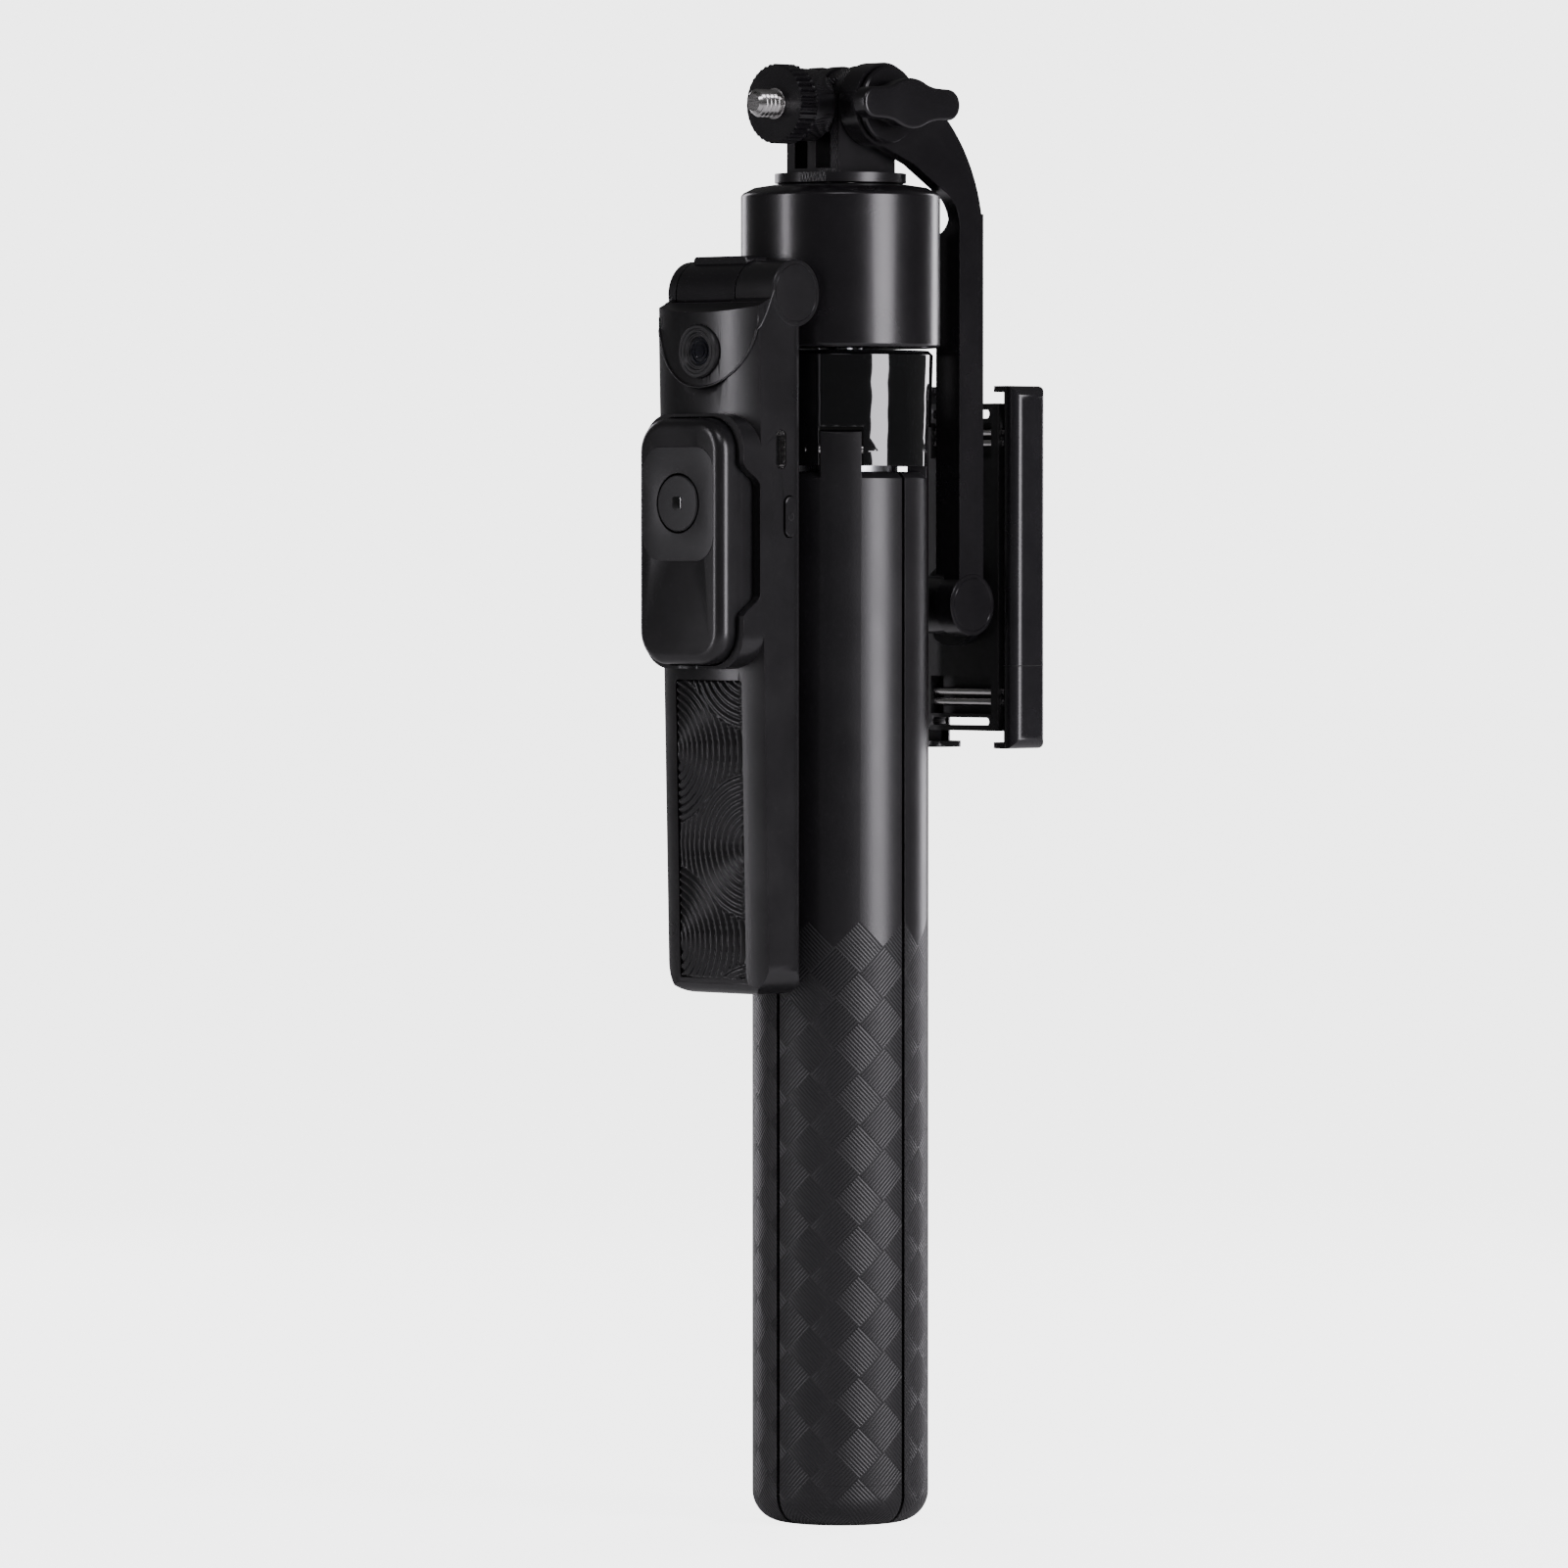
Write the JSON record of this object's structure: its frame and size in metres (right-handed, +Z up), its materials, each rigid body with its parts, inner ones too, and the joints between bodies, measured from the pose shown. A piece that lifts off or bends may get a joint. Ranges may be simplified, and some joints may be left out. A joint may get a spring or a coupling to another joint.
{
  "type": "selfie stick",
  "caption": "Folded selfie stick with a four-legged handle, telescopic pole, panning head, swing-up phone clamp and a hinged camera unit holding a remote.",
  "frame": {"origin": "pole axis at the floor, under the folded legs", "axes": "+Z up the pole, -Y towards the camera unit and remote, +Y towards the phone clamp, +X towards the wing knob"},
  "size_m": [0.0456, 0.1023, 0.3305],
  "materials": {
    "soft_black": "fine moulded satin",
    "gloss_black": "polished",
    "rubber_black": "moulded rubber",
    "steel": "turned steel",
    "aluminium": "drawn and anodised",
    "bush_white": "acetal",
    "lens": "coated glass",
    "cell_wrap": "shrink wrap",
    "board": "solder mask"
  },
  "bodies": {
    "handle": {"leg_hub": "gloss_black", "base_tube": "aluminium", "base_plug": "gloss_black", "leg_hinge_pins": "steel"},
    "leg_front_right": {"leg_front_right": "soft_black", "foot_front_right": "rubber_black"},
    "leg_back_right": {"leg_back_right": "soft_black", "foot_back_right": "rubber_black"},
    "leg_back_left": {"leg_back_left": "soft_black", "foot_back_left": "rubber_black"},
    "leg_front_left": {"leg_front_left": "soft_black", "foot_front_left": "rubber_black"},
    "stage_1": {"tube_1": "aluminium", "bush_1": "bush_white"},
    "stage_2": {"tube_2": "aluminium", "bush_2": "bush_white"},
    "stage_3": {"tube_3": "aluminium", "bush_3": "bush_white"},
    "stage_4": {"tube_4": "aluminium", "bush_4": "bush_white"},
    "head": {"tube_5": "aluminium", "bush_5": "bush_white", "head_floor": "soft_black", "head_shell": "soft_black", "pan_motor": "aluminium", "unit_bracket": "soft_black"},
    "yoke": {"yoke": "soft_black", "pan_spindle": "steel", "pivot_nut": "steel"},
    "stud": {"stud_block": "soft_black", "camera_stud": "steel"},
    "wheel": {"lock_wheel": "soft_black"},
    "knob": {"wing_knob": "soft_black", "pivot_bolt": "steel"},
    "arm": {"phone_arm": "soft_black", "clamp_pivot_pin": "steel"},
    "knuckle": {"clamp_knuckle": "soft_black", "clamp_spin_screw": "steel"},
    "clamp": {"clamp_frame": "gloss_black", "clamp_springs": "steel"},
    "right_jaw": {"jaw_right": "gloss_black", "jaw_rods_right": "steel"},
    "left_jaw": {"jaw_left": "gloss_black", "jaw_rods_left": "steel"},
    "unit": {"unit_back_shell": "soft_black", "unit_front_shell": "soft_black", "camera_hood": "soft_black", "lens_bezel": "gloss_black", "lens_glass": "lens", "remote_cradle": "soft_black", "grip_pad": "rubber_black", "usb_port": "steel", "battery": "cell_wrap", "circuit_board": "board", "unit_hinge_pin": "steel"},
    "power": {"power_button": "gloss_black"},
    "remote": {"remote_body": "soft_black", "remote_face": "gloss_black", "coin_cell": "steel"},
    "shutter": {"remote_button": "rubber_black"}
  },
  "joints": [
    {"name": "pole_extend", "type": "slide", "parent": "handle", "child": "stage_1", "axis": [0, 0, 1], "range_m": [0, 0.205]},
    {"name": "pole_section_2", "type": "slide", "parent": "stage_1", "child": "stage_2", "axis": [0, 0, 1], "range_m": [0, 0.205]},
    {"name": "pole_section_3", "type": "slide", "parent": "stage_2", "child": "stage_3", "axis": [0, 0, 1], "range_m": [0, 0.205]},
    {"name": "pole_section_4", "type": "slide", "parent": "stage_3", "child": "stage_4", "axis": [0, 0, 1], "range_m": [0, 0.205]},
    {"name": "pole_section_5", "type": "slide", "parent": "stage_4", "child": "head", "axis": [0, 0, 1], "range_m": [0, 0.205]},
    {"name": "leg_front_right_open", "type": "hinge", "parent": "handle", "child": "leg_front_right", "pos_m": [0.01245, -0.01245, 0.2432], "axis": [-0.7071, -0.7071, 0], "range_deg": [0, 25.01]},
    {"name": "leg_back_right_open", "type": "hinge", "parent": "handle", "child": "leg_back_right", "pos_m": [0.01245, 0.01245, 0.2432], "axis": [0.7071, -0.7071, 0], "range_deg": [0, 25.01]},
    {"name": "leg_back_left_open", "type": "hinge", "parent": "handle", "child": "leg_back_left", "pos_m": [-0.01245, 0.01245, 0.2432], "axis": [0.7071, 0.7071, 0], "range_deg": [0, 25.01]},
    {"name": "leg_front_left_open", "type": "hinge", "parent": "handle", "child": "leg_front_left", "pos_m": [-0.01245, -0.01245, 0.2432], "axis": [-0.7071, 0.7071, 0], "range_deg": [0, 25.01]},
    {"name": "head_pan", "type": "hinge", "parent": "head", "child": "yoke", "pos_m": [0, 0, 0.304], "axis": [0, 0, 1], "range_deg": [-90, 90]},
    {"name": "stud_tilt", "type": "hinge", "parent": "yoke", "child": "stud", "pos_m": [0, 0, 0.321], "axis": [1, 0, 0], "range_deg": [-90, 0]},
    {"name": "lock_wheel_turn", "type": "hinge", "parent": "stud", "child": "wheel", "pos_m": [0, -0.0185, 0.321], "axis": [0, 1, 0], "continuous": true},
    {"name": "wing_knob_turn", "type": "hinge", "parent": "yoke", "child": "knob", "pos_m": [0.0195, 0, 0.321], "axis": [1, 0, 0], "continuous": true},
    {"name": "arm_swing", "type": "hinge", "parent": "yoke", "child": "arm", "pos_m": [0.011, 0, 0.321], "axis": [1, 0, 0], "range_deg": [0, 180]},
    {"name": "clamp_tilt", "type": "hinge", "parent": "arm", "child": "knuckle", "pos_m": [0, 0.0285, 0.208], "axis": [1, 0, 0], "range_deg": [-22, 5]},
    {"name": "clamp_spin", "type": "hinge", "parent": "knuckle", "child": "clamp", "pos_m": [0, 0.041, 0.208], "axis": [0, 1, 0], "range_deg": [-90, 90]},
    {"name": "jaw_right_slide", "type": "slide", "parent": "clamp", "child": "right_jaw", "axis": [1, 0, 0], "range_m": [0, 0.024], "stiffness_N_per_m": 120, "springref_m": -0.005},
    {"name": "jaw_left_slide", "type": "slide", "parent": "clamp", "child": "left_jaw", "axis": [-1, 0, 0], "range_m": [0, 0.024], "stiffness_N_per_m": 120, "springref_m": -0.005},
    {"name": "unit_flip", "type": "hinge", "parent": "head", "child": "unit", "pos_m": [0, -0.0305, 0.278], "axis": [1, 0, 0], "range_deg": [-120, 0]},
    {"name": "power_button_press", "type": "slide", "parent": "unit", "child": "power", "axis": [-1, 0, 0], "range_m": [0, 0.0006], "stiffness_N_per_m": 500, "springref_m": -0.0004},
    {"name": "remote_slide", "type": "slide", "parent": "unit", "child": "remote", "axis": [0, -1, 0], "range_m": [0, 0.014]},
    {"name": "remote_button_press", "type": "slide", "parent": "remote", "child": "shutter", "axis": [0, 1, 0], "range_m": [0, 0.0005], "stiffness_N_per_m": 500, "springref_m": -0.0004}
  ],
  "couplings": [
    {"joint": "pole_section_2", "follows": "pole_extend", "ratio": 1},
    {"joint": "pole_section_3", "follows": "pole_extend", "ratio": 1},
    {"joint": "pole_section_4", "follows": "pole_extend", "ratio": 1},
    {"joint": "pole_section_5", "follows": "pole_extend", "ratio": 1},
    {"joint": "leg_front_right_open", "follows": "pole_extend", "rad_per_m": 2.1284},
    {"joint": "leg_back_right_open", "follows": "pole_extend", "rad_per_m": 2.1284},
    {"joint": "leg_back_left_open", "follows": "pole_extend", "rad_per_m": 2.1284},
    {"joint": "leg_front_left_open", "follows": "pole_extend", "rad_per_m": 2.1284},
    {"joint": "jaw_left_slide", "follows": "jaw_right_slide", "ratio": 1}
  ]
}
